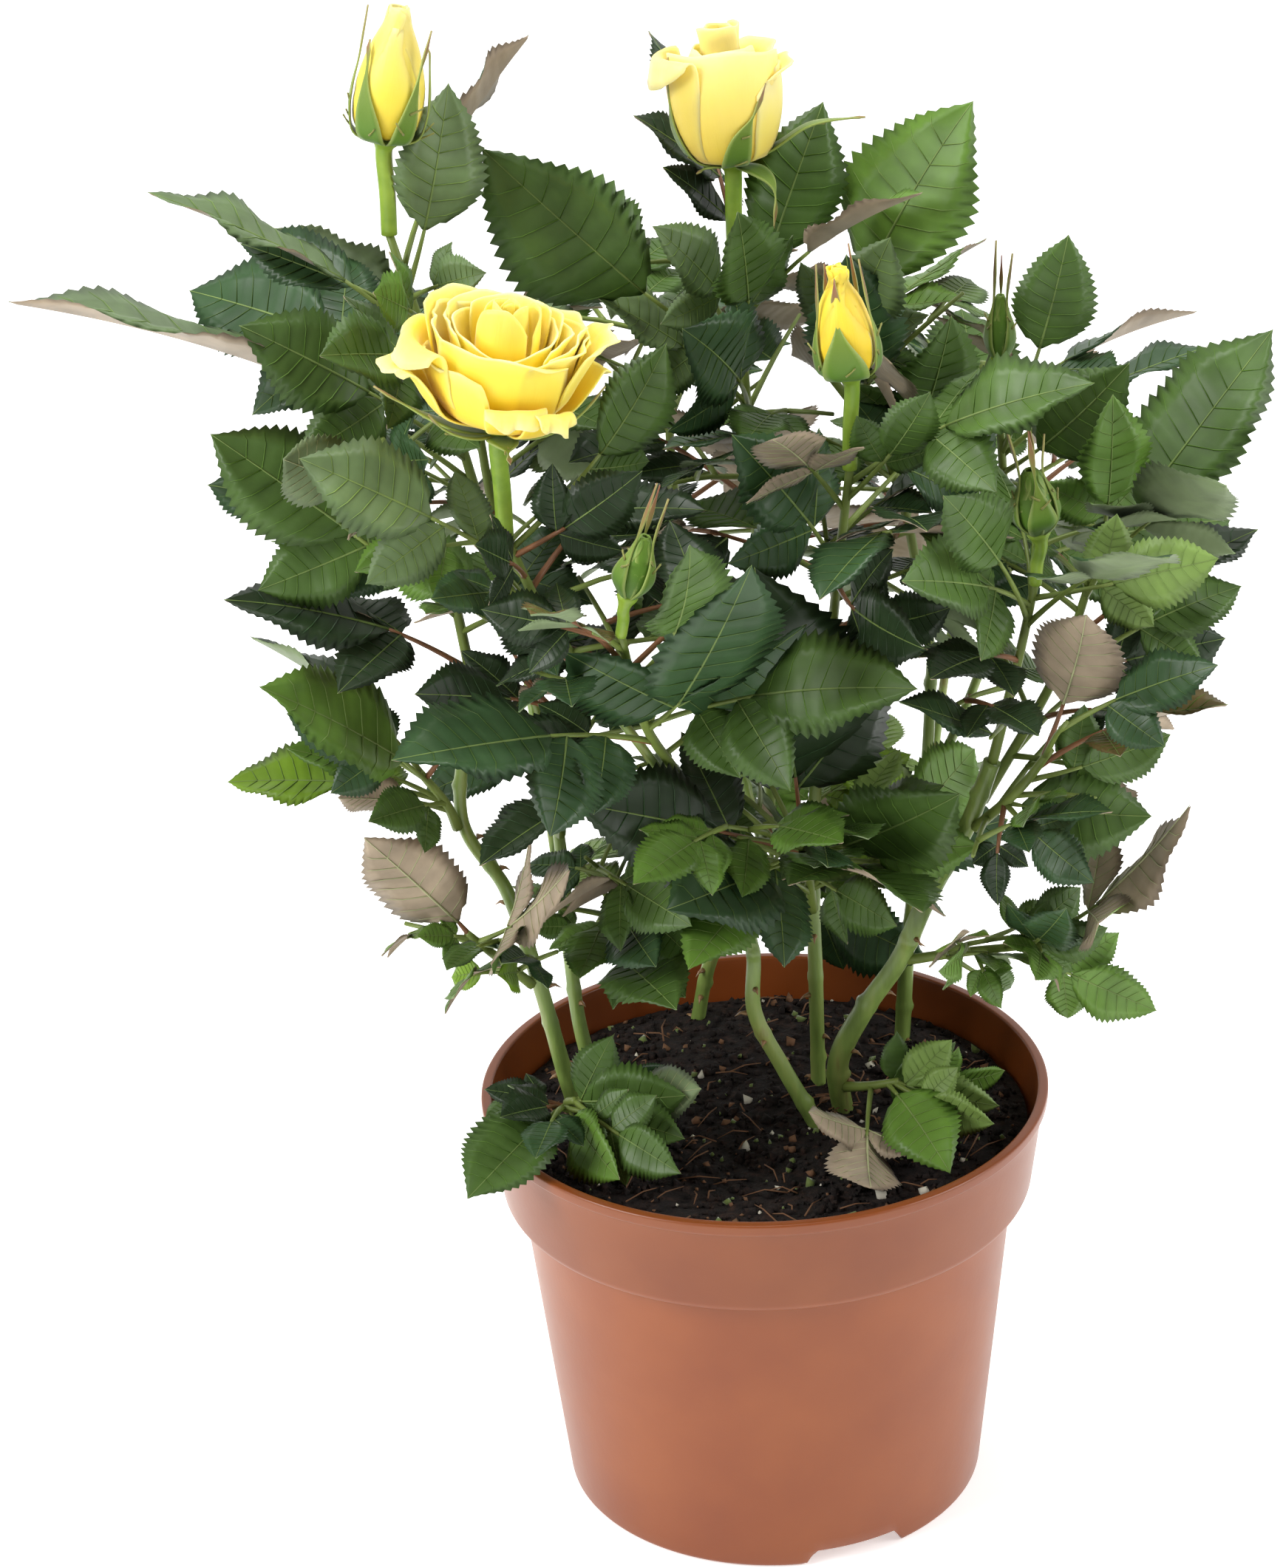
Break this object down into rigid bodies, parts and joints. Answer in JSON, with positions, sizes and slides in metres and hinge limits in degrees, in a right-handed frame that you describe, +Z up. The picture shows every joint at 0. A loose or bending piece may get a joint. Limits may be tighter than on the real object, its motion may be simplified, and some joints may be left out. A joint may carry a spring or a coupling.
{
  "type": "potted rose bush",
  "caption": "Miniature rose bush with green canes, toothed leaves and yellow blooms and buds, growing in a round flared plastic nursery pot filled with peat.",
  "frame": {"origin": "centre of the pot's flat underside", "axes": "+Z up along the pot's axis, +X to the right as the bush is seen from its front, +Y to its back"},
  "size_m": [0.269, 0.2001, 0.352],
  "materials": {
    "pot_plastic": "satin moulded polypropylene, terracotta brown",
    "peat": "moist loose peat with perlite and fibres",
    "green_cane": "smooth green bark",
    "foliage": "living leaves, glossy above and dull beneath",
    "petals": "living petals, silky",
    "sepals": "living sepals, satin"
  },
  "bodies": {
    "root": {"pot": "pot_plastic", "peat": "peat", "cane_back": "green_cane", "cane_centre_back": "green_cane", "cane_centre_front": "green_cane", "cane_left_back": "green_cane", "cane_left_front": "green_cane", "cane_right_back": "green_cane", "cane_right_front": "green_cane", "bough_back": "green_cane", "bough_back_left": "green_cane", "bough_back_right": "green_cane", "bough_right": "green_cane", "bough_rose": "green_cane", "foliage_back": "foliage", "foliage_back_left": "foliage", "foliage_back_right": "foliage", "foliage_base_left": "foliage", "foliage_base_right": "foliage", "foliage_centre": "foliage", "foliage_far_right": "foliage", "foliage_left": "foliage", "foliage_left_inner": "foliage", "foliage_left_low": "foliage", "foliage_low_back": "foliage", "foliage_low_left": "foliage", "foliage_low_middle": "foliage", "foliage_low_right": "foliage", "foliage_middle": "foliage", "foliage_right": "foliage", "foliage_right_front": "foliage", "foliage_right_low": "foliage", "foliage_rose": "foliage", "foliage_top": "foliage", "foliage_top_right": "foliage", "foliage_upper_left": "foliage", "foliage_yellow_bud": "foliage", "bloom_rose": "petals", "bloom_top": "petals", "bud_green_centre": "sepals", "bud_green_front": "sepals", "bud_green_right": "sepals", "bud_upper_left": "petals", "bud_yellow": "petals"}
  },
  "joints": []
}
